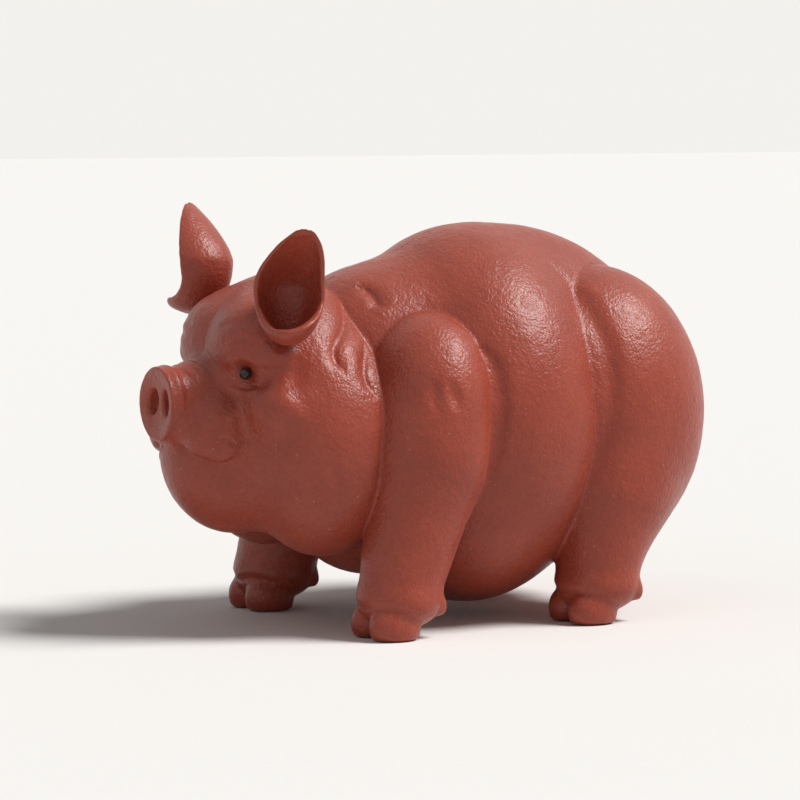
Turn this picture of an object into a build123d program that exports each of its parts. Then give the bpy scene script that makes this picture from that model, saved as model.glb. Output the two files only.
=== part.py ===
"""Pig figurine in unglazed purple-red stoneware, built up from pressed shells and luted lumps of clay.

The pig faces -Y, its left side is +X and it stands on Z = 0. Sizes are in millimetres. A place is
(out to the left, back from the neck, up); the finished figure is centred over its own footprint.
"""

import os

from build123d import *

os.makedirs("parts", exist_ok=True)

# Clay wall of the shells, the hole between their hollows, and the vent hole in the belly
wall = 4.2
windpipe_radius = 7.0
windpipe_height = 36.0
vent_radius = 1.5
vent_offset = 6.5

# Trunk: a pressed shell whose shape is four lumps run together
barrel_place = (0, 25.2, 33.0)
barrel_half_sizes = (29.5, 22.3, 31.0)
loin_place = (0, 31.0, 35.3)
loin_half_sizes = (21.5, 32.5, 29.4)
withers_place = (0, 9.0, 40.8)
withers_half_sizes = (17.5, 17.0, 17.8)
breast_place = (0, 7.0, 25.0)
breast_half_sizes = (18.0, 14.0, 17.5)

# Head: a second shell, luted over the breast. Its other lumps are placed from the middle of the skull
skull_place = (0, -9.0, 41.0)
skull_half_sizes = (17.0, 14.0, 16.8)
jowl_offset = (9.0, 1.8, -10.0)
jowl_half_sizes = (13.5, 13.0, 17.0)
chin_offset = (0, -8.0, -13.0)
chin_half_sizes = (11.5, 11.5, 13.5)
brow_offset = (6.5, -7.5, 5.5)
brow_half_sizes = (8.0, 6.2, 7.5)

# Snout: it stands out in front of the chin, below the middle of the skull
snout_proud = 2.7
snout_drop = 4.0
snout_length = 13.2
snout_root_radius = 8.6
snout_waist_radius = 5.4
snout_disc_radius = 6.1
snout_disc_thickness = 2.4
snout_groove = 0.8
snout_edge_round = 0.9
nostril_spacing = 5.4
nostril_half_sizes = (1.1, 2.6, 1.7)

# Upper lip: a coil of clay under the snout, from one corner of the mouth to the other
lip_radius = 1.9
lip_proud = 1.5
lip_corner_x = 9.0
lip_corner_height = 29.6
lip_front_height = 31.4

# Eyes: beads of clay pressed into the face
eye_radius = 1.25
eye_proud = 0.55
eye_x = 9.8
eye_height = 41.6

# Ears: cupped leaves. Each was bent by hand, so the two stand a little differently
ear_height = 25.0
ear_half_width = 7.6
ear_thickness = 1.6
ear_depth = 6.4
ear_root_sink = 3.0
ear_left_offset = (11.8, -2.0, 4.5)
ear_left_turns = (6.0, 22.0, 28.0)
ear_right_offset = (11.8, -4.0, 6.5)
ear_right_turns = (8.0, 20.0, 30.0)

# Forelegs: a shoulder lump drawn down into a short leg
shoulder_place = (15.5, 8.5, 36.0)
shoulder_half_sizes = (14.0, 10.8, 15.5)
shoulder_turns = (-8.0, 0, 0)
elbow_place = (20.0, 7.0, 26.0)
fore_ankle_place = (21.0, 1.5, 8.0)

# Hind legs: a ham drawn down into a short leg
ham_place = (9.2, 44.5, 33.5)
ham_half_sizes = (19.3, 19.3, 24.5)
thigh_place = (19.0, 42.0, 20.0)
hind_ankle_place = (20.0, 39.3, 8.0)

# Leg thickness, the same on all four
leg_top_radius = 9.0
ankle_radius = 6.4

# Toes and dewclaws, two of each on every foot
toe_half_sizes = (3.9, 5.7, 4.6)
toe_cleft = 0.5
toe_axis_height = 2.6
toe_forward = 2.7
dewclaw_half_sizes = (1.6, 2.3, 2.9)
dewclaw_spacing = 7.2
dewclaw_height = 5.4
dewclaw_sink = 0.5
dewclaw_turns = (24.0, 0, 0)

# Tail: a thin coil curled against the rump
tail_radius = 1.3
tail_curl_radius = 3.0
tail_height = 46.0
tail_curl_start = 60.0
tail_curl_turn = 300.0


def from_skull(offset):
    """A place on the head, given from the middle of the skull."""
    return tuple(Vector(skull_place) + Vector(offset))


def lump(place, half_sizes, turns=(0, 0, 0)):
    """A ball of clay drawn out to three half sizes. Its poles are at its left and right."""
    return Location(place, turns) * scale(Rot(0, 90, 0) * Sphere(1), by=tuple(half_sizes))


def hollow_lump(place, half_sizes):
    """The hollow inside a lump, one wall in from its surface."""
    return lump(place, [half_size - wall for half_size in half_sizes])


def mirrored(shape):
    """The same shape on the pig's other side."""
    return mirror(shape, about=Plane.YZ)


def limb(top_place, ankle_place):
    """A leg that tapers from a round top to a round ankle."""
    top = Vector(top_place)
    down = Vector(ankle_place) - top
    stand = (Align.CENTER, Align.CENTER, Align.MIN)
    shaft = Cone(leg_top_radius, ankle_radius, down.length, align=stand)
    ankle = Pos(0, 0, down.length) * Sphere(ankle_radius)
    return Plane(origin=top, z_dir=down) * (shaft + Sphere(leg_top_radius) + ankle)


def surface_at(form, across, up, facing):
    """Where a form's surface is, seen from the front (-1) or from behind (1), and its normal there."""
    hits = form.find_intersection_points(Axis((across, 0, up), (0, facing, 0)))
    return max(hits, key=lambda hit: facing * hit[0].Y)


def pressed_in(form, across, up, radius, proud):
    """The centre of a round pressed into a form's front until it stands proud by so much."""
    surface, normal = surface_at(form, across, up, -1)
    return surface - normal * (radius - proud), normal


def half_space(side, edge_x):
    """Everything to the left (1) or the right (-1) of a plane across the pig at edge_x."""
    span = 4 * loin_half_sizes[1]
    return Pos(edge_x + side * span / 2, 0, 0) * Box(span, span, span)


def above_ground():
    """Everything above the surface that the pig stands on."""
    span = 4 * loin_half_sizes[1]
    return Pos(0, 0, span / 2) * Box(span, span, span)


def coil(path, radius):
    """A rolled coil of clay along a path, with a round end at each end."""
    rod = sweep(Plane(origin=path @ 0, z_dir=path % 0) * Circle(radius), path=path)
    return rod + Pos(path @ 0) * Sphere(radius) + Pos(path @ 1) * Sphere(radius)


pieces = {}

# Outer form and hollow of the trunk shell
trunk_lumps = [
    (barrel_place, barrel_half_sizes),
    (loin_place, loin_half_sizes),
    (withers_place, withers_half_sizes),
    (breast_place, breast_half_sizes),
]
trunk_form = trunk_hollow = Part()
for place, half_sizes in trunk_lumps:
    trunk_form = trunk_form + lump(place, half_sizes)
    trunk_hollow = trunk_hollow + hollow_lump(place, half_sizes)

# Outer form and hollow of the head shell
jowl_form = lump(from_skull(jowl_offset), jowl_half_sizes)
jowl_hollow = hollow_lump(from_skull(jowl_offset), jowl_half_sizes)
brow_form = lump(from_skull(brow_offset), brow_half_sizes)
chin_place = from_skull(chin_offset)
head_form = lump(skull_place, skull_half_sizes) + jowl_form + mirrored(jowl_form)
head_form = head_form + lump(chin_place, chin_half_sizes) + brow_form + mirrored(brow_form)
head_hollow = hollow_lump(skull_place, skull_half_sizes) + jowl_hollow + mirrored(jowl_hollow)
head_hollow = head_hollow + hollow_lump(chin_place, chin_half_sizes)

# Trunk shell in two pressed halves, joined down the middle, with the vent that lets steam out
windpipe_length = breast_place[1] - skull_place[1]
windpipe_place = (0, (breast_place[1] + skull_place[1]) / 2, windpipe_height)
windpipe = Pos(windpipe_place) * Rot(90, 0, 0) * Cylinder(windpipe_radius, windpipe_length)
vent = Pos(vent_offset, barrel_place[1], barrel_place[2] / 2) * Cylinder(vent_radius, barrel_place[2])
trunk_shell = trunk_form - trunk_hollow - windpipe - vent
pieces["trunk_left"] = trunk_shell & half_space(1, 0)
pieces["trunk_right"] = trunk_shell & half_space(-1, 0)

# Snout: a tapered plug with a flat disc and two blind nostrils
snout_height = skull_place[2] - snout_drop
snout_front_y = chin_place[1] - chin_half_sizes[1] - snout_proud
snout_root_y = snout_front_y + snout_length
snout_back_y = snout_front_y + snout_disc_thickness
snout_outline = Polyline(
    (0, snout_root_y),
    (snout_root_radius, snout_root_y),
    (snout_waist_radius, snout_back_y + snout_groove),
    (snout_disc_radius, snout_back_y),
    (snout_disc_radius, snout_front_y),
    (0, snout_front_y),
    close=True,
)
snout_solid = revolve(make_face(snout_outline), axis=Axis.Y)
snout_rim = snout_solid.edges().filter_by(GeomType.CIRCLE).sort_by(Axis.Y)[:2]
snout_form = Pos(0, 0, snout_height) * fillet(snout_rim, snout_edge_round)
nostril = lump((nostril_spacing / 2, snout_front_y, snout_height), nostril_half_sizes)
pieces["snout"] = snout_form - head_form - nostril - mirrored(nostril)

# Upper lip
lip_corner = pressed_in(head_form, lip_corner_x, lip_corner_height, lip_radius, lip_proud)[0]
lip_front = pressed_in(head_form, 0, lip_front_height, lip_radius, lip_proud)[0]
lip_far_corner = Vector(-lip_corner.X, lip_corner.Y, lip_corner.Z)
lip_form = coil(ThreePointArc(lip_corner, lip_front, lip_far_corner), lip_radius)
pieces["upper_lip"] = lip_form - head_form - snout_form

# Eyes
eye_centre, eye_normal = pressed_in(head_form, eye_x, eye_height, eye_radius, eye_proud)
eye = Plane(origin=eye_centre, z_dir=eye_normal) * Sphere(eye_radius)
pieces["eye_left"] = eye
pieces["eye_right"] = mirrored(eye)

# Head shell, open at the back where it is luted over the breast
pieces["head_shell"] = head_form - head_hollow - trunk_form - eye - mirrored(eye)


def ear(place, turns):
    """A cupped leaf of clay on the pig's left side, its hollow facing forward before it is turned."""
    middle = ear_height / 2
    bowl_half_sizes = (ear_half_width + ear_thickness, ear_depth, middle + ear_thickness)
    bowl = lump((0, 0, middle), bowl_half_sizes) - lump((0, -ear_thickness, middle), bowl_half_sizes)
    tip = (0, ear_height)
    left_edge = ThreePointArc((0, 0), (ear_half_width, middle), tip)
    right_edge = ThreePointArc(tip, (-ear_half_width, middle), (0, 0))
    leaf = extrude(Plane.XZ * make_face(left_edge + right_edge), -ear_depth - ear_thickness)
    return Location(place, turns, Extrinsic.XYZ) * Pos(0, 0, -ear_root_sink) * (bowl & leaf)


pieces["ear_left"] = ear(from_skull(ear_left_offset), ear_left_turns) - head_form
pieces["ear_right"] = mirrored(ear(from_skull(ear_right_offset), ear_right_turns)) - head_form


def foot(ankle_place):
    """Two main toes with a flat sole and two dewclaws behind, for a leg on the pig's left side."""
    ankle_x, ankle_y = ankle_place[0], ankle_place[1]
    toe_y = ankle_y - toe_forward
    claw_y = ankle_y + ankle_radius - dewclaw_sink
    toes = {}
    for where, side in (("outer", 1), ("inner", -1)):
        toe_x = ankle_x + side * (toe_half_sizes[0] - toe_cleft)
        toe = lump((toe_x, toe_y, toe_axis_height), toe_half_sizes)
        toes["toe_" + where] = toe & above_ground() & half_space(side, ankle_x)
        claw_x = ankle_x + side * dewclaw_spacing / 2
        toes["dewclaw_" + where] = lump((claw_x, claw_y, dewclaw_height), dewclaw_half_sizes, dewclaw_turns)
    return toes


# Legs with their feet, the left one made first and the right one its mirror image
shoulder = lump(shoulder_place, shoulder_half_sizes, shoulder_turns)
fore_form = shoulder + limb(elbow_place, fore_ankle_place)
ham = lump(ham_place, ham_half_sizes) & half_space(1, 0)
hind_form = ham + limb(thigh_place, hind_ankle_place)
for leg_name, leg_form, ankle_place in (
    ("fore", fore_form, fore_ankle_place),
    ("hind", hind_form, hind_ankle_place),
):
    leg = leg_form - trunk_form - head_form
    for toe_name, toe in foot(ankle_place).items():
        if toe_name.startswith("toe"):
            leg = leg - toe
            toe = toe - trunk_form
        else:
            toe = toe - leg_form
        pieces[leg_name + "_" + toe_name + "_left"] = toe
        pieces[leg_name + "_" + toe_name + "_right"] = mirrored(toe)
    pieces[leg_name + "leg_left"] = leg
    pieces[leg_name + "leg_right"] = mirrored(leg)

# Tail: a coil that comes out of the rump and curls once against it
rump_surface, rump_normal = surface_at(trunk_form + ham + mirrored(ham), 0, tail_height, 1)
tail_plane = Plane(origin=rump_surface + rump_normal * tail_radius, x_dir=(1, 0, 0), z_dir=rump_normal)
tail_curl = CenterArc((0, 0), tail_curl_radius, tail_curl_start, tail_curl_turn)
tail_path = tail_plane * tail_curl
pieces["tail"] = coil(tail_path, tail_radius) - trunk_form - ham - mirrored(ham)

# The finished figure, centred over its own footprint
boxes = [piece.bounding_box() for piece in pieces.values()]
middle_y = (min(box.min.Y for box in boxes) + max(box.max.Y for box in boxes)) / 2
for name, piece in pieces.items():
    export_step(Pos(0, -middle_y, 0) * piece, "parts/" + name + ".step")
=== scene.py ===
import math

import bpy
import numpy as np
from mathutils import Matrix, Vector


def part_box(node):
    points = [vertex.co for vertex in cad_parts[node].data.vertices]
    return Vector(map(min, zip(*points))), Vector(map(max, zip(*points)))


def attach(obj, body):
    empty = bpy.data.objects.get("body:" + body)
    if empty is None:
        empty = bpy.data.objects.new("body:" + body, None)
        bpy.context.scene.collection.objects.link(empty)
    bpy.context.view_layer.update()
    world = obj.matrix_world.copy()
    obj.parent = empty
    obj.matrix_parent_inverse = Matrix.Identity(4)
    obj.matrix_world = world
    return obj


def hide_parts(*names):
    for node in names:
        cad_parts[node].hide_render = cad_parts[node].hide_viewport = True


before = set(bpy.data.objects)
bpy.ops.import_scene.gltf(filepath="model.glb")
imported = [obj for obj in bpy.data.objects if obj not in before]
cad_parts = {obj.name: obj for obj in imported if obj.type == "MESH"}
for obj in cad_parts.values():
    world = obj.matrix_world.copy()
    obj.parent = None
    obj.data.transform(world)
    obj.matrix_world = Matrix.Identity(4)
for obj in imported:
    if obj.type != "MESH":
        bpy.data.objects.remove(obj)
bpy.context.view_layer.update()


# Trunk: the pig's hollow body, of brick-red stoneware clay, pressed in two halves that are luted
# together along the back and the belly. Four lumps run into each other: the barrel with the belly,
# the loin and rump behind it, and the withers and breast that carry the head. Sizes are in mm.
barrel_place, barrel_half_sizes = (0, 25.2, 33.0), (28.95, 22.3, 31.0)
loin_place, loin_half_sizes, loin_joint = (0, 31.0, 35.3), (21.5, 32.5, 29.4), 3
withers_place, withers_half_sizes, withers_joint = (0, 9.0, 40.8), (17.5, 17.0, 17.8), 4
breast_place, breast_half_sizes, breast_joint = (0, 7.0, 25.0), (18.0, 14.0, 17.5), 4

# The modelling sizes count back from the neck, and this is where the neck stands in the frame
neck_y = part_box("trunk_left")[0].y * 1000 - (withers_place[1] - withers_half_sizes[1])

random = np.random.default_rng(7)
lattice_count = 32
lattice = random.random((lattice_count,) * 3)
slant = np.linalg.qr(random.normal(size=(3, 3)))[0]


def eased(share):
    """A share from 0 to 1 that starts and stops gently."""
    share = np.clip(share, 0, 1)
    return share * share * (3 - 2 * share)


def unevenness(p, size):
    """Random values from 0 to 1 that change smoothly over about so many millimetres."""
    q = p @ slant / size
    cell = np.floor(q).astype(int)
    t = eased(q - cell)
    total = 0
    for i in (0, 1):
        for j in (0, 1):
            for k in (0, 1):
                share = np.abs(1 - i - t[:, 0]) * np.abs(1 - j - t[:, 1]) * np.abs(1 - k - t[:, 2])
                corner = (cell + (i, j, k)) % lattice_count
                total = total + share * lattice[corner[:, 0], corner[:, 1], corner[:, 2]]
    return total


def turned(x, y, z):
    """Axes turned about x, then y, then z, in degrees."""
    cx, cy, cz = np.cos(np.radians((x, y, z)))
    sx, sy, sz = np.sin(np.radians((x, y, z)))
    about_x = np.array(((1, 0, 0), (0, cx, -sx), (0, sx, cx)))
    about_y = np.array(((cy, 0, sy), (0, 1, 0), (-sy, 0, cy)))
    about_z = np.array(((cz, -sz, 0), (sz, cz, 0), (0, 0, 1)))
    return about_z @ about_y @ about_x


def ball(p, place, half_sizes, turns=(0, 0, 0)):
    """How far points are from a lump rolled to three half sizes."""
    q = p - np.array(place, float)
    if any(turns):
        q = q @ turned(*turns)
    half = np.array(half_sizes, float)
    near = np.sqrt(((q / half) ** 2).sum(1))
    slope = np.sqrt(((q / half**2) ** 2).sum(1))
    return near * (near - 1) / np.maximum(slope, 1e-9)


def rod(p, start, end, start_radius, end_radius):
    """How far points are from a coil of clay that tapers from one round end to the other."""
    a, b = np.array(start, float), np.array(end, float)
    along = b - a
    length_2 = along @ along
    taper = start_radius - end_radius
    side_2 = length_2 - taper * taper
    q = p - a
    y = q @ along
    z = y - length_2
    x_2 = ((q * length_2 - y[:, None] * along) ** 2).sum(1)
    y_2 = y * y * length_2
    z_2 = z * z * length_2
    k = np.sign(taper) * taper * taper * x_2
    at_end = np.sign(z) * side_2 * z_2 > k
    at_start = np.sign(y) * side_2 * y_2 < k
    shaft = (np.sqrt(x_2 * side_2 / length_2) + y * taper) / length_2 - start_radius
    value = np.where(at_start, np.sqrt(x_2 + y_2) / length_2 - start_radius, shaft)
    return np.where(at_end, np.sqrt(x_2 + z_2) / length_2 - end_radius, value)


def join(a, b, width):
    """Two lumps pressed together, the joint between them smoothed over so wide."""
    h = np.maximum(width - np.abs(a - b), 0) / width
    return np.minimum(a, b) - h * h * width / 4


def pared(a, b, width):
    """What a and b have in common, with the edge between them rounded over."""
    return -join(-a, -b, width)


def both_sides(p):
    """The same points with the pig's right side folded onto its left."""
    q = p.copy()
    q[:, 0] = np.abs(q[:, 0])
    return q


def close_by(p, place, reach, form, margin=3):
    """A small form that is worked out only for points within reach and a margin of its place."""
    value = np.linalg.norm(p - np.array(place, float), axis=1) - reach
    near = value < margin
    value[near] = form(p[near])
    return value


clay = []
tool_marks = []
skin_layers = ((0.16, 8.0), (0.08, 2.6), (0.05, 0.95))  # how deep and how wide


def add_clay(form, joint):
    """Presses the next lump onto the clay, with the joint smoothed over so wide."""
    clay.append((form, joint))


def plain_clay(p, count=None):
    """How far points are from the first so many lumps, or from all so far, pressed together."""
    value = clay[0][0](p)
    for form, joint in clay[1:count]:
        value = join(value, form(p), joint)
    return value


def marks_depth(p):
    """How deep the tool marks are at each point. A mark is bell-shaped and fades out by two widths."""
    far_off = 9.0
    depth = np.zeros(len(p))
    q = both_sides(p)
    for line, widths, depths, mirrored in tool_marks:
        where = q if mirrored else p
        reach = 2.0 * max(widths)
        near = np.flatnonzero(((where > line.min(0) - reach) & (where < line.max(0) + reach)).all(1))
        if len(near) == 0:
            continue
        spot = where[near]
        nearest = np.full(len(near), far_off)
        deep = np.zeros(len(near))
        for i in range(len(line) - 1):
            a, along = line[i], line[i + 1] - line[i]
            t = np.clip((spot - a) @ along / (along @ along), 0, 1)
            away = np.linalg.norm(spot - a - t[:, None] * along, axis=1)
            away = away / (widths[i] + t * (widths[i + 1] - widths[i]))
            closer = away < nearest
            nearest = np.where(closer, away, nearest)
            deep = np.where(closer, depths[i] + t * (depths[i + 1] - depths[i]), deep)
        depth[near] += deep * np.exp(-2 * nearest**2)
    return depth


def skin_depth(p):
    """How far the uneven, orange-peel skin that hands leave lies inside the plain form."""
    return sum(deep * unevenness(p, wide) for deep, wide in skin_layers)


def worked_clay(p):
    """How far points are from all the clay with its tool marks and its skin."""
    return plain_clay(p) + marks_depth(p) + skin_depth(p)


def slope_of(form, p):
    """The direction in which a form's distance grows, and how fast."""
    reach = 0.06
    total = np.zeros_like(p)
    for corner in ((1, -1, -1), (-1, -1, 1), (-1, 1, -1), (1, 1, 1)):
        corner = np.array(corner, float)
        total += form(p + reach * corner)[:, None] * corner
    return total / (4 * reach)


def onto(form, p, rounds, most=1.0):
    """Moves points onto a form's surface, by so much at most in each round."""
    faintest = 0.15
    for _ in range(rounds):
        slope = slope_of(form, p)
        away = form(p) / np.maximum((slope**2).sum(1), faintest)
        p = p - np.clip(away, -most, most)[:, None] * slope
    return p


def curved(points, steps=4):
    """A smooth line through points, with so many steps from each to the next."""
    last = len(points) - 1
    stations = np.linspace(0, last, last * steps + 1)
    padded = np.concatenate([2 * points[:1] - points[1:2], points, 2 * points[-1:] - points[-2:-1]])
    first = np.minimum(stations.astype(int), last - 1)
    t = (stations - first)[:, None]
    a, b, c, d = (padded[first + i] for i in range(4))
    return 0.5 * (2 * b + (c - a) * t + (2 * a - 5 * b + 4 * c - d) * t**2 + (3 * b - a - 3 * c + d) * t**3)


def press(path, width, depth, ends=0.15, mirrored=True):
    """Presses a line into the clay, or raises one where depth is below zero. It fades at its ends."""
    end_width = 0.6
    line = curved(np.array(path, float))
    line = onto(lambda p: plain_clay(p) + marks_depth(p), line, 6)
    along = np.linspace(0, 1, len(line))
    fade = np.clip(np.minimum(along, 1 - along) / ends, 0, 1)
    tool_marks.append((line, width * (end_width + (1 - end_width) * fade), depth * fade, mirrored))


def skin(form, low, high, step, block=4):
    """Points and four-sided faces of the surface where a form's distance is zero, inside a box."""
    low = np.array(low, float)
    count = [block * math.ceil((b - a) / step / block) for a, b in zip(low, high)]
    blocks = np.stack(np.meshgrid(*[np.arange(0, c, block) for c in count], indexing="ij"), -1)
    blocks = blocks.reshape(-1, 3)
    near_enough = 5.0 * step + 0.2
    blocks = blocks[np.abs(form(low + (blocks + block / 2) * step)) < near_enough]
    knots = np.stack(np.meshgrid(*[np.arange(block + 1)] * 3, indexing="ij"), -1).reshape(-1, 3)
    cubes = knots[(knots < block).all(1)]
    wanted = np.zeros([c + 1 for c in count], bool)
    wanted[tuple((blocks[:, None] + knots).reshape(-1, 3).T)] = True
    value = np.zeros(wanted.shape)
    value[wanted] = form(low + np.argwhere(wanted) * step)
    cells = (blocks[:, None] + cubes).reshape(-1, 3)
    corners = np.array([(i, j, k) for i in (0, 1) for j in (0, 1) for k in (0, 1)])
    at = np.stack([value[tuple((cells + corner).T)] for corner in corners], 1)
    crossed = (at < 0).any(1) & (at >= 0).any(1)
    cells, at = cells[crossed], at[crossed]

    # One point in each crossed cell, in the middle of where its edges cross the surface
    total, hits = np.zeros(cells.shape), np.zeros(len(cells))
    for i in range(8):
        for bit in (4, 2, 1):
            if i & bit:
                continue
            cross = (at[:, i] < 0) != (at[:, i | bit] < 0)
            t = np.where(cross, at[:, i] / np.where(cross, at[:, i] - at[:, i | bit], 1), 0)
            total += cross[:, None] * (corners[i] + t[:, None] * (corners[i | bit] - corners[i]))
            hits += cross
    points = low + (cells + total / hits[:, None]) * step

    # One face round each crossed edge, from the points of the four cells that share it
    number = np.full(wanted.shape, -1)
    number[tuple(cells.T)] = np.arange(len(cells))
    faces = []
    for axis in range(3):
        u, v = np.eye(3, dtype=int)[(axis + 1) % 3], np.eye(3, dtype=int)[(axis + 2) % 3]
        inside, beyond = at[:, 0] < 0, at[:, 4 >> axis] < 0
        for here, order in ((cells[inside & ~beyond], 1), (cells[~inside & beyond], -1)):
            ring = [here - u - v, here - v, here, here - u][::order]
            faces.append(np.stack([number[tuple(cell.T)] for cell in ring], 1))
    faces = np.concatenate(faces)
    return points, faces[(faces >= 0).all(1)]


def clay_material(name, dark, light, low_shine, high_shine):
    """Fired stoneware: mottled clay with pale and dark sand, an orange-peel skin and a faint polish."""
    material = bpy.data.materials.new(name)
    material.use_nodes = True
    nodes, links = material.node_tree.nodes, material.node_tree.links
    shader = nodes["Principled BSDF"]
    place = nodes.new("ShaderNodeTexCoord").outputs["Object"]

    def noise(size_mm, detail, roughness=0.5):
        node = nodes.new("ShaderNodeTexNoise")
        node.inputs["Scale"].default_value = 1000 / size_mm
        node.inputs["Detail"].default_value = detail
        node.inputs["Roughness"].default_value = roughness
        links.new(place, node.inputs["Vector"])
        return node.outputs["Fac"]

    def ramp(value, low, high):
        node = nodes.new("ShaderNodeValToRGB")
        for element, (position, color) in zip(node.color_ramp.elements, (low, high)):
            element.position = position
            element.color = (*color, 1)
        links.new(value, node.inputs["Fac"])
        return node.outputs["Color"]

    def blend(share, low, high, mode="MIX"):
        node = nodes.new("ShaderNodeMix")
        node.data_type = "RGBA"
        node.blend_type = mode
        for name, value in (("Factor", share), ("A", low), ("B", high)):
            if isinstance(value, bpy.types.NodeSocket):
                links.new(value, node.inputs[name])
            else:
                node.inputs[name].default_value = value if isinstance(value, float) else (*value, 1)
        return node.outputs["Result"]

    body = ramp(noise(11, 3), (0.3, dark), (0.7, light))
    mottled = ramp(noise(0.8, 4, 0.65), (0.32, (0.90, 0.88, 0.87)), (0.68, (1.07, 1.08, 1.09)))
    color = blend(1.0, body, mottled, "MULTIPLY")
    pale_sand, dark_sand = (0.55, 0.86, (0.55, 0.30, 0.20)), (0.75, 0.90, (0.10, 0.028, 0.020))
    for size_mm, bare_share, tint in (pale_sand, dark_sand):
        grain = nodes.new("ShaderNodeTexVoronoi")
        grain.inputs["Scale"].default_value = 1000 / size_mm
        links.new(place, grain.inputs["Vector"])
        shape = ramp(grain.outputs["Distance"], (0.10, (1, 1, 1)), (0.26, (0, 0, 0)))
        chosen = ramp(grain.outputs["Color"], (bare_share, (0, 0, 0)), (bare_share + 0.03, (0.55,) * 3))
        color = blend(blend(1.0, shape, chosen, "MULTIPLY"), color, tint)
    links.new(color, shader.inputs["Base Color"])
    polish = ramp(noise(2.2, 3), (0.3, (low_shine,) * 3), (0.7, (high_shine,) * 3))
    links.new(polish, shader.inputs["Roughness"])
    shader.inputs["Specular IOR Level"].default_value = 0.35
    shader.inputs["Sheen Weight"].default_value = 0.03
    shader.inputs["Sheen Roughness"].default_value = 0.45
    shader.inputs["Sheen Tint"].default_value = (1.0, 0.82, 0.80, 1)
    rough = None
    for size_mm, detail, height_mm in ((1.0, 1, 0.08), (0.45, 1, 0.11), (0.2, 2, 0.03)):
        bump = nodes.new("ShaderNodeBump")
        bump.inputs["Strength"].default_value = 1.0
        bump.inputs["Distance"].default_value = height_mm / 1000
        links.new(noise(size_mm, detail), bump.inputs["Height"])
        if rough:
            links.new(rough, bump.inputs["Normal"])
        rough = bump.outputs["Normal"]
    links.new(rough, shader.inputs["Normal"])
    return material


stoneware_clay = clay_material("stoneware_clay", (0.275, 0.042, 0.022), (0.325, 0.056, 0.030), 0.32, 0.43)
modelled = []
seam_overlap, widest_skirt, skirt_share = 0.15, 0.7, 0.4


def model_piece(node, low, high, step, side=0):
    """Keeps the newest lump as a piece, with the thin skirt that is smoothed over the clay under it."""
    newest, joint = clay[-1]
    count = len(clay)
    skirt = min(widest_skirt, skirt_share * joint)

    def form(p):
        value = newest(p)
        marked = marks_depth(p) + skin_depth(p)
        if count > 1:
            under = plain_clay(p, count - 1)
            beyond_skirt = 0.5 * (value - under - joint + skirt)
            value = np.maximum(join(under, value, joint) + marked, beyond_skirt)
        else:
            value = value + marked
        return np.maximum(value, -side * p[:, 0] - seam_overlap) if side else value

    mesh = bpy.data.meshes.new(node + "_clay")
    mesh.materials.append(stoneware_clay)
    clay_piece = bpy.data.objects.new(node + "_clay", mesh)
    bpy.context.scene.collection.objects.link(clay_piece)
    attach(clay_piece, "root")
    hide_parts(node)
    modelled.append((mesh, form, low, high, step))


def model_pair(name, low, high, step):
    """Keeps the newest lumps as a left and a right piece. The box is the left one's."""
    model_piece(name + "_left", low, high, step, 1)
    model_piece(name + "_right", (-high[0], low[1], low[2]), (-low[0], high[1], high[2]), step, -1)


def trunk(p):
    body = join(ball(p, barrel_place, barrel_half_sizes), ball(p, loin_place, loin_half_sizes), loin_joint)
    body = join(body, ball(p, withers_place, withers_half_sizes), withers_joint)
    return join(body, ball(p, breast_place, breast_half_sizes), breast_joint)


add_clay(trunk, joint=0)
model_pair("trunk", low=(-0.7, -9, 0.5), high=(30.5, 64.5, 66), step=0.5)


# Hind legs: on each side a ham of solid clay, drawn down into a short leg and luted to the trunk.
# The joint stays open as the long crease in front of the ham, and each leg ends in a soft roll.
ham_place, ham_half_sizes, ham_joint = (9.2, 44.5, 33.5), (19.3, 19.3, 24.5), 6
thigh_place, hind_ankle_place = (19.0, 42.0, 20.0), (20.0, 39.3, 8.0)
leg_top_radius, ankle_radius = 9.0, 6.7
cuff_drop, cuff_half_sizes, cuff_joint = 2.2, (6.8, 6.9, 3.9), 2
ham_crease = [
    (14.4, 31.8, 58.8), (15.0, 35.0, 57.1), (17.8, 36.8, 53.8), (21.3, 37.3, 50.3), (24.1, 37.8, 46.5),
    (25.9, 37.9, 42.6), (27.1, 37.5, 36.1), (26.6, 36.2, 29.5), (25.1, 33.6, 22.1),
]


def leg(q, top_place, ankle_place):
    """A leg drawn down to the ankle, with the soft roll in which it ends over its toes."""
    x, y, z = ankle_place
    cuff = ball(q, (x, y, z - cuff_drop), cuff_half_sizes)
    return join(rod(q, top_place, ankle_place, leg_top_radius, ankle_radius), cuff, cuff_joint)


def hind_leg(p):
    q = both_sides(p)
    return join(ball(q, ham_place, ham_half_sizes), leg(q, thigh_place, hind_ankle_place), ham_joint)


add_clay(hind_leg, joint=0.6)
press(ham_crease, width=2.4, depth=0.7, ends=0.3)
model_pair("hindleg", low=(-0.7, 24, 0.5), high=(31, 66, 61), step=0.5)


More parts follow.
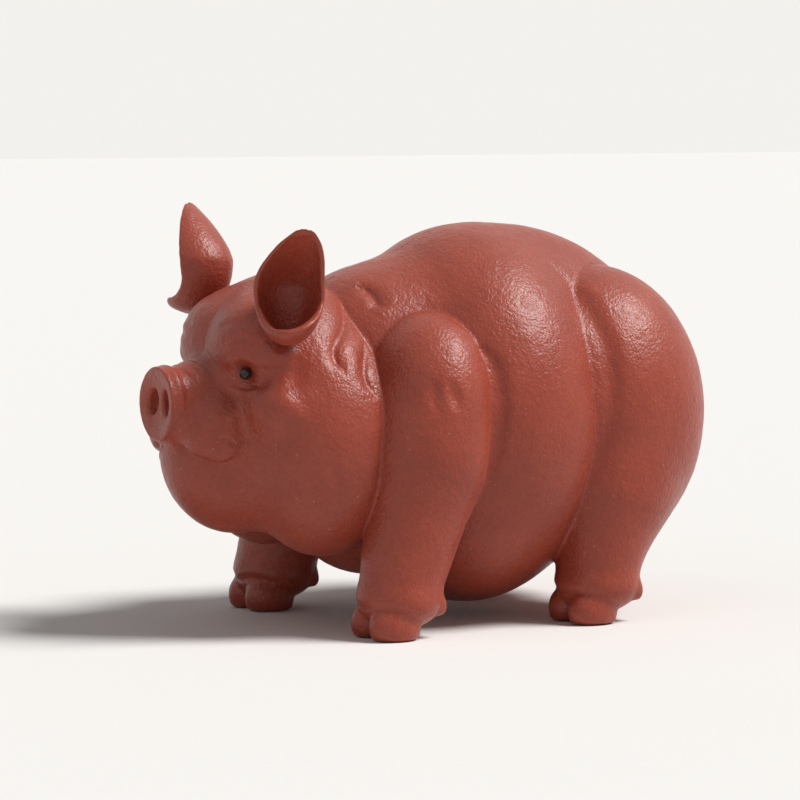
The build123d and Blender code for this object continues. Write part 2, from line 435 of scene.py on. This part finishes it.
# Forelegs: a shoulder lump of solid clay drawn down into a short leg, luted over the breast and the
# barrel. A crease runs down behind the shoulder, and the potter's fingers left two dents in it.
shoulder_place, shoulder_half_sizes, shoulder_turns = (15.5, 8.5, 36.0), (13.55, 10.8, 15.5), (-8, 0, 0)
elbow_place, fore_ankle_place, shoulder_joint = (19.45, 7.0, 26.0), (21.0, 1.5, 8.0), 7
shoulder_crease = [
    (22.9, 11.6, 48.5), (23.6, 15.0, 45.9), (25.0, 16.5, 43.3), (26.1, 16.9, 40.1), (26.7, 17.0, 36.9),
    (26.8, 16.5, 32.1), (26.2, 15.8, 27.2), (24.1, 15.9, 21.4),
]
front_dent = [(27.6, 3.6, 42.0), (28.3, 3.8, 39.0), (28.6, 4.2, 35.4)]
rear_dent = [(27.8, 6.4, 41.6), (28.7, 7.2, 38.8), (29.1, 7.8, 36.0)]


def foreleg(p):
    q = both_sides(p)
    shoulder = ball(q, shoulder_place, shoulder_half_sizes, shoulder_turns)
    return join(shoulder, leg(q, elbow_place, fore_ankle_place), shoulder_joint)


add_clay(foreleg, joint=0.5)
press(shoulder_crease, width=1.6, depth=0.6, ends=0.3)
press(front_dent, width=1.5, depth=0.5, ends=0.4)
press(rear_dent, width=1.4, depth=0.55, ends=0.4)
model_pair("foreleg", low=(3, -9, 0.5), high=(31, 21, 54), step=0.45)


# Head: a second pressed shell, luted over the breast, with jowls, chin and brow filled out by hand.
# Folds are cut into the neck behind the jowl and pressed round the eyes with a wooden tool.
skull_place, skull_half_sizes = (0, -9.0, 41.0), (15.8, 13.6, 16.6)
brow_place, brow_half_sizes, brow_joint = (6.0, -16.5, 46.0), (7.6, 6.0, 7.4), 4
jowl_place, jowl_half_sizes, jowl_joint = (9.4, -6.0, 30.2), (13.4, 13.8, 18.0), 5
chin_place, chin_half_sizes, chin_joint = (0, -17.2, 29.0), (11.2, 12.0, 13.4), 4
temple_place, temple_half_sizes, temple_joint = (13.3, -16.4, 44.9), (2.6, 2.6, 2.2), 1.5
cheek_place, cheek_half_sizes, cheek_joint = (12.6, -15.2, 36.6), (6.4, 5.6, 4.8), 2.5
socket_place, eye_middle, eye_corner = (10.7, -21.1, 41.7), (10.6, -21.3, 41.8), (13.2, -19.6, 41.0)
upper_lid = [
    (7.6, -22.4, 42.8), (9.0, -22.1, 44.0), (10.6, -21.3, 44.4), (12.0, -20.4, 44.0), (13.2, -19.5, 42.8),
]
pouch = [(8.0, -22.2, 40.0), (9.4, -21.4, 39.4), (11.4, -20.6, 39.4), (13.1, -19.8, 40.2)]
low_brow_wrinkle = [(6.5, -22.7, 47.0), (9.3, -21.8, 47.7), (11.7, -20.5, 47.4)]
high_brow_wrinkle = [(4.6, -23.0, 49.4), (8.2, -22.0, 50.2), (10.9, -20.4, 49.8)]
cheek_crease = [
    (17.0, -14.5, 46.0), (16.8, -14.7, 43.0), (17.8, -15.4, 40.1), (19.4, -14.4, 37.2), (20.4, -13.0, 34.8),
]
neck_folds = [
    [
        (8.5, -1.6, 52.6), (10.9, -2.6, 51.0), (13.5, -4.1, 49.2), (16.0, -6.9, 47.2),
        (17.1, -8.0, 45.7), (18.1, -8.1, 44.2), (18.7, -7.6, 43.3), (19.6, -7.4, 41.6),
    ],
    [
        (13.8, -0.9, 47.1), (15.7, -1.4, 45.4), (18.1, -2.9, 43.5), (19.7, -3.6, 41.4),
        (20.4, -3.1, 39.8), (20.9, -2.3, 38.0),
    ],
    [(6.6, 1.5, 55.3), (8.6, 2.6, 54.8), (11.2, 3.0, 53.0), (12.2, 2.8, 51.8)],
]
jowl_fold = [(21.6, -11.1, 28.6), (21.4, -10.2, 25.5), (20.6, -9.2, 22.6)]


def head(p):
    q = both_sides(p)
    form = join(ball(p, skull_place, skull_half_sizes), ball(q, brow_place, brow_half_sizes), brow_joint)
    form = join(form, ball(q, jowl_place, jowl_half_sizes), jowl_joint)
    form = join(form, ball(p, chin_place, chin_half_sizes), chin_joint)
    form = join(form, ball(q, temple_place, temple_half_sizes), temple_joint)
    return join(form, ball(q, cheek_place, cheek_half_sizes), cheek_joint)


def dab(place, width, depth):
    """Presses a round hollow into both sides with the blunt end of the tool."""
    spot = np.array([place, place]) + [(0, 0, 0), (0.01, 0, 0)]
    spot = onto(lambda p: plain_clay(p) + marks_depth(p), spot, 6)
    tool_marks.append((spot, np.full(2, width), np.full(2, depth), True))


add_clay(head, joint=0.5)
dab(socket_place, width=3.6, depth=1.2)
dab(eye_middle, width=1.9, depth=1.3)
dab(eye_corner, width=2.2, depth=0.5)
press(upper_lid, width=1.1, depth=-0.35)
press(pouch, width=0.8, depth=-0.25)
press(low_brow_wrinkle, width=0.8, depth=0.35)
press(high_brow_wrinkle, width=0.9, depth=0.2)
press(cheek_crease, width=2.4, depth=0.35, ends=0.4)
for fold in neck_folds:
    press(fold, width=1.9, depth=0.6, ends=0.3)
    press(fold, width=0.65, depth=0.8, ends=0.3)
press(jowl_fold, width=1.2, depth=0.25)
model_piece("head_shell", low=(-23.5, -30, 12), high=(23.5, 6, 60), step=0.34)


# Snout: a tapered plug of clay with a flat, dished disc, luted to the face. The nostrils are pressed
# in with a pointed stick, and the skin behind the disc is wrinkled.
snout_height, snout_front_y = 37.0, -31.2
bridge_place, waist_place, bridge_radius, waist_radius = (0, -18.0, 36.8), (0, -27.0, 37.05), 8.9, 6.0
plug_end, disc_radius, disc_thickness, disc_edge, disc_joint = 2.1, 6.1, 2.2, 0.5, 2.0
dish_place, dish_half_sizes = (0, snout_front_y - 1.1, snout_height), (5.2, 1.9, 5.2)
nostril_place, nostril_half_sizes = (2.2, snout_front_y + 0.6, snout_height + 0.2), (1.15, 2.6, 1.9)
nostril_turns, dish_edge, nostril_edge = (0, -12, 0), 0.8, 0.7


def snout(p):
    plug = rod(p, bridge_place, waist_place, bridge_radius, waist_radius)
    plug = pared(plug, snout_front_y + plug_end - p[:, 1], disc_edge)
    across = np.hypot(p[:, 0], p[:, 2] - snout_height) - disc_radius + disc_edge
    through = np.abs(p[:, 1] - snout_front_y - disc_thickness / 2) - disc_thickness / 2 + disc_edge
    outside = np.hypot(np.maximum(across, 0), np.maximum(through, 0))
    disc = np.minimum(np.maximum(across, through), 0) + outside - disc_edge
    form = join(plug, disc, disc_joint)
    form = pared(form, -ball(p, dish_place, dish_half_sizes), dish_edge)
    nostril = ball(both_sides(p), nostril_place, nostril_half_sizes, nostril_turns)
    return pared(form, -nostril, nostril_edge)


add_clay(lambda p: close_by(p, place=(0, -24, 37), reach=12, form=snout), joint=1.5)
wrinkle = [(-3.4, 0.5, 42.0), (-1.4, 0, 43.0), (1.4, 0, 43.2), (4.0, 0.5, 42.4), (6.0, 1.3, 40.6)]
for wrinkle_y, wrinkle_depth in ((-27.9, 0.40), (-26.3, 0.35), (-24.4, 0.30)):
    line = [(x, wrinkle_y + y, z) for x, y, z in wrinkle]
    press(line, width=0.5, depth=wrinkle_depth, ends=0.3, mirrored=False)
model_piece("snout", low=(-12, -32, 26), high=(12, -14, 48), step=0.22)


# Upper lip: a coil of clay laid under the snout from one corner of the mouth to the other, where
# it ends in a round bead and makes the pig smile. A soft pad on each side fills the muzzle above it.
lip_places = [(0, -26.2, 34.2), (3.2, -26.9, 33.1), (6.2, -25.8, 31.4), (9.2, -23.8, 30.0)]
lip_radii, lip_joint = [2.2, 2.5, 2.5, 2.3], 0.6
pad_place, pad_half_sizes, pad_joint = (5.6, -23.2, 33.4), (5.8, 4.6, 5.2), 3.2
mouth = [
    (2.2, -28.6, 30.9), (4.2, -28.4, 30.1), (5.6, -27.8, 29.2), (7.6, -26.3, 28.2), (9.3, -24.6, 27.6),
    (10.6, -23.3, 28.0), (11.4, -22.4, 29.0),
]
bead_crease = [(9.6, -25.0, 32.0), (10.5, -24.0, 31.7), (11.2, -23.0, 30.8)]


def upper_lip(p):
    q = both_sides(p)
    form = rod(q, lip_places[0], lip_places[1], lip_radii[0], lip_radii[1])
    for i in (1, 2):
        length = rod(q, lip_places[i], lip_places[i + 1], lip_radii[i], lip_radii[i + 1])
        form = join(form, length, lip_joint)
    return join(form, ball(q, pad_place, pad_half_sizes), pad_joint)


add_clay(lambda p: close_by(p, place=(0, -25, 31), reach=12, form=upper_lip), joint=2.0)
press(mouth, width=1.0, depth=0.9)
press(mouth, width=0.5, depth=0.6)
press(bead_crease, width=0.5, depth=0.5)
model_piece("upper_lip", low=(-13.5, -32.5, 25.5), high=(13.5, -16, 41), step=0.2)


# Eyes: small round beads of the same clay, burnished dark and smooth, and set into the bottom of the
# pressed sockets.
eye_radius, eye_sunk = 1.1, 1.0
eye_place = onto(head, np.array([eye_middle]), 8)[0]
eye_place = eye_place - eye_sunk * slope_of(head, eye_place[None])[0]


def eyes(p):
    return ball(both_sides(p), eye_place, (eye_radius,) * 3) - marks_depth(p)


add_clay(eyes, joint=0.15)
model_pair("eye", low=(8, -23, 39.4), high=(12.6, -18, 44), step=0.12)
eye_clay = clay_material("eye_clay", (0.018, 0.009, 0.008), (0.028, 0.012, 0.010), 0.16, 0.24)
for mesh, *_ in modelled[-2:]:
    mesh.materials[0] = eye_clay


# Ears: deep cups of clay, pinched out thin to a point above and left thicker at the lip below. Each
# was bent by hand, so one stands a little higher than the other.
ear_half_width, ear_depth, ear_rise, ear_drop = 5.85, 6.6, 10.3, 8.85
ear_wall, lip_wall, thinnest, solid_tip = 1.15, 0.4, 0.3, 1.2
lean_back, lean_out, open_stretch, lip_reach = 0.41, 0.40, 1.35, 5.5
ear_places, ear_turns = {"left": (17.0, -16.15, 55.4), "right": (17.5, -14.9, 58.5)}, (0, 0, 57)


def soft_start(up, ease):
    """A height above zero that comes in gently."""
    highest = 14
    up = np.clip(up, 0, highest)
    return up * up / (up + ease)


def ear_cup(across, out, up, trim=0, closed=0):
    """How far points are from the ear without its hollow, or from its hollow, smaller by a trim."""
    share = np.clip(up / ear_rise, 0, 0.999)
    half_width = np.maximum(ear_half_width * (1 - share**1.8) ** 0.65 - trim, thinnest)
    depth = np.maximum(ear_depth * (1 - share**1.7) ** 1.05 - trim, thinnest)
    x = across - lean_back * soft_start(up - 0.8, 2.6)
    y = out - lean_out * soft_start(up, 2.0)
    y = np.where(y > 0, y / open_stretch, y)
    z = np.minimum(up, 0)
    drop = ear_drop - trim
    near = np.sqrt((x / half_width) ** 2 + (y / depth) ** 2 + (z / drop) ** 2)
    slope = np.sqrt((x / half_width**2) ** 2 + (y / depth**2) ** 2 + (z / drop**2) ** 2)
    return np.maximum(near * (near - 1) / np.maximum(slope, 1e-6), (up - ear_rise + closed) * 0.8)


def ear(p, side, place):
    q = p.copy()
    q[:, 0] *= side
    q = (q - np.array(place)) @ turned(*ear_turns)
    across, out, up = q[:, 0], -q[:, 1], q[:, 2]
    wall = ear_wall + lip_wall * eased((-up - 1) / 5)
    shell = pared(ear_cup(across, out, up), -ear_cup(across, out, up, wall, solid_tip), 0.25)
    opening = lean_out * soft_start(up, 2.0) + lip_reach * eased((-up - 1.6) / 5) * eased((across + 7) / 7)
    rim = (out - opening) / (1 + 0.5 * eased((-up + 0.5) / 2))
    return 0.85 * pared(shell, rim, 0.6)


for word, side in (("left", 1), ("right", -1)):
    place = ear_places[word]
    middle = np.array((side * place[0], place[1], place[2]))
    add_clay(lambda p, s=side, c=place, m=middle: close_by(p, m, 14, lambda q: ear(q, s, c)), joint=1.0)
    model_piece("ear_" + word, low=middle - (11, 11, 10), high=middle + (11, 11, 10.6), step=0.2)


# Toes: two lumps of clay luted under each leg, pinched to blunt points in front and rubbed flat
# underneath, so the pig stands level. The joint is pressed in with a tool above them.
toe_half_sizes, toe_height, toe_spacing, sole_edge = (3.4, 4.5, 4.3), 2.2, 5.8, 0.6
feet = {"fore": (21.0, -1.0), "hind": (20.0, 36.6)}
arch = [
    (6.3, 2.2, 5.2), (4.8, -2.6, 5.5), (2.6, -4.2, 5.6), (0, -3.9, 5.2), (-2.6, -4.2, 5.6), (-4.8, -2.6, 5.5),
    (-6.3, 2.2, 5.2),
]


def toe(p, x, y):
    return pared(ball(both_sides(p), (x, y, toe_height), toe_half_sizes), -p[:, 2], sole_edge)


for foot, (foot_x, foot_y) in feet.items():
    for word, side in (("outer", 1), ("inner", -1)):
        toe_x = foot_x + side * toe_spacing / 2
        add_clay(lambda p, x=toe_x, y=foot_y: toe(p, x, y), joint=0.7)
        low, high = (toe_x - 5, foot_y - 7, -0.5), (toe_x + 5, foot_y + 7, 8.5)
        model_pair(f"{foot}_toe_{word}", low, high, step=0.26)
for foot_x, foot_y in feet.values():
    press([(foot_x + x, foot_y + y, z) for x, y, z in arch], width=0.75, depth=0.7)


# Dewclaws: two small beads of clay behind each ankle, drawn out a little and pressed against the
# roll of the leg, clear of the ground.
claw_half_sizes, claw_spacing, claw_height, claw_turns = (1.5, 1.4, 2.0), 7.2, 5.4, (20, 0, 0)
claws_y = {"fore": 6.5, "hind": 44.3}


def dewclaw(p, x, y):
    return ball(both_sides(p), (x, y, claw_height), claw_half_sizes, claw_turns)


for foot, (foot_x, _) in feet.items():
    for word, side in (("outer", 1), ("inner", -1)):
        claw_x, claw_y = foot_x + side * claw_spacing / 2, claws_y[foot]
        add_clay(lambda p, x=claw_x, y=claw_y: dewclaw(p, x, y), joint=0.8)
        low, high = (claw_x - 3.5, claw_y - 5, 0.5), (claw_x + 3.5, claw_y + 5, 11)
        model_pair(f"{foot}_dewclaw_{word}", low, high, step=0.2)


# Tail: a thin coil of clay rolled to a point, curled once and luted against the rump. The photograph
# doesn't show it, so it is what such figurines have.
tail_radius, tail_curl_radius, tail_height, tail_taper, tail_sunk = 1.3, 3.0, 46.0, 0.35, 0.75
curl_start, curl_end, curl_step = 60, 360, 20
rump = onto(plain_clay, np.array([(0.0, 64.0, tail_height)]), 8)[0]
rump_out = slope_of(plain_clay, rump[None])[0]
rump_out /= np.linalg.norm(rump_out)
rump_up = np.cross(rump_out, (1, 0, 0))
curl_middle = rump + rump_out * tail_radius * tail_sunk
tail_line = []
for degrees in range(curl_start, curl_end + 1, curl_step):
    angle, share = math.radians(degrees), (degrees - curl_start) / (curl_end - curl_start)
    way = math.cos(angle) * np.array((1.0, 0, 0)) + math.sin(angle) * rump_up
    tail_line.append((curl_middle + tail_curl_radius * way, tail_radius * (1 - tail_taper * share)))


def tail(p):
    lengths = zip(tail_line, tail_line[1:])
    return np.min([rod(p, a, b, a_radius, b_radius) for (a, a_radius), (b, b_radius) in lengths], axis=0)


add_clay(lambda p: close_by(p, place=rump, reach=6, form=tail), joint=0.8)
model_piece("tail", low=rump + (-6, -4, -6), high=rump + (6, 3, 6), step=0.2)


# Smoothed seams: when all the clay is on, wet hands and tools go over it, so every piece takes its
# shape only now, with all the marks, and the shading runs on from piece to piece.
for mesh, form, low, high, step in modelled:
    points, faces = skin(form, low, high, step)
    points = onto(form, points, 2, step)
    mesh.from_pydata(((points + (0, neck_y, 0)) / 1000).tolist(), [], faces.tolist())
    mesh.polygons.foreach_set("use_smooth", [True] * len(mesh.polygons))
    outward = slope_of(worked_clay, points)
    outward /= np.maximum(np.linalg.norm(outward, axis=1), 1e-6)[:, None]
    mesh.normals_split_custom_set_from_vertices(outward.tolist())


# Studio: a plain pale floor and backdrop, one large soft key from above on the right, and a low
# fill. The camera stands on the pig's left, a little in front of it. Sizes are in metres.
target = Vector((-0.004, neck_y / 1000 + 0.016, 0.0355))
camera_round, camera_up, camera_distance = 60, 4.5, 0.65
sensor_mm, lens_mm, floor_half = 36, 176.96, 4


def toward(degrees_round, degrees_up, distance):
    """A place seen from the target, so far round from straight ahead of the pig and so high."""
    around, up = math.radians(degrees_round), math.radians(degrees_up)
    flat = math.cos(up)
    return target + distance * Vector((math.sin(around) * flat, -math.cos(around) * flat, math.sin(up)))


def put_up(name, data, place):
    """Puts a camera or a lamp in its place, turned to the target."""
    thing = bpy.data.objects.new(name, data)
    thing.location = place
    thing.rotation_euler = (target - thing.location).to_track_quat("-Z", "Y").to_euler()
    bpy.context.scene.collection.objects.link(thing)
    return thing


camera_place = toward(camera_round, camera_up, camera_distance)
camera = put_up("camera", bpy.data.cameras.new("camera"), camera_place)
camera.data.sensor_width, camera.data.lens = sensor_mm, lens_mm
camera.data.clip_start, camera.data.clip_end = 0.01, 20
bpy.context.scene.camera = camera
bpy.context.scene.view_settings.view_transform = "Standard"

for name, degrees_round, degrees_up, spread, strength in (
    ("key", camera_round + 85, 54, 22, 3.6),
    ("fill", camera_round - 45, 35, 60, 0.25),
):
    lamp = put_up(name, bpy.data.lights.new(name, "SUN"), toward(degrees_round, degrees_up, 1.0))
    lamp.data.angle = math.radians(spread)
    lamp.data.energy = strength

world = bpy.data.worlds.new("studio")
world.use_nodes = True
bpy.context.scene.world = world
nodes, links = world.node_tree.nodes, world.node_tree.links
path = nodes.new("ShaderNodeLightPath")
soft = nodes["Background"]
soft.inputs["Color"].default_value = (0.9, 0.92, 0.95, 1)
soft.inputs["Strength"].default_value = 0.20
seen = nodes.new("ShaderNodeBackground")
seen.inputs["Color"].default_value = (0.90, 0.88, 0.85, 1)
seen.inputs["Strength"].default_value = 1.0
looked_at = path.outputs["Is Camera Ray"]
for ray in ("Is Glossy Ray", "Is Transmission Ray"):
    either = nodes.new("ShaderNodeMath")
    either.operation = "MAXIMUM"
    links.new(looked_at, either.inputs[0])
    links.new(path.outputs[ray], either.inputs[1])
    looked_at = either.outputs["Value"]
mix = nodes.new("ShaderNodeMixShader")
links.new(looked_at, mix.inputs["Fac"])
links.new(soft.outputs["Background"], mix.inputs[1])
links.new(seen.outputs["Background"], mix.inputs[2])
links.new(mix.outputs["Shader"], nodes["World Output"].inputs["Surface"])

floor_mesh = bpy.data.meshes.new("floor")
floor_corners = [(x * floor_half, y * floor_half, 0) for x, y in ((-1, -1), (1, -1), (1, 1), (-1, 1))]
floor_mesh.from_pydata(floor_corners, [], [(0, 1, 2, 3)])
floor = bpy.data.objects.new("floor", floor_mesh)
bpy.context.scene.collection.objects.link(floor)
floor_paper = bpy.data.materials.new("floor_paper")
floor_paper.use_nodes = True
floor_paper.node_tree.nodes["Principled BSDF"].inputs["Base Color"].default_value = (0.80, 0.78, 0.75, 1)
floor_paper.node_tree.nodes["Principled BSDF"].inputs["Roughness"].default_value = 0.9
floor_mesh.materials.append(floor_paper)
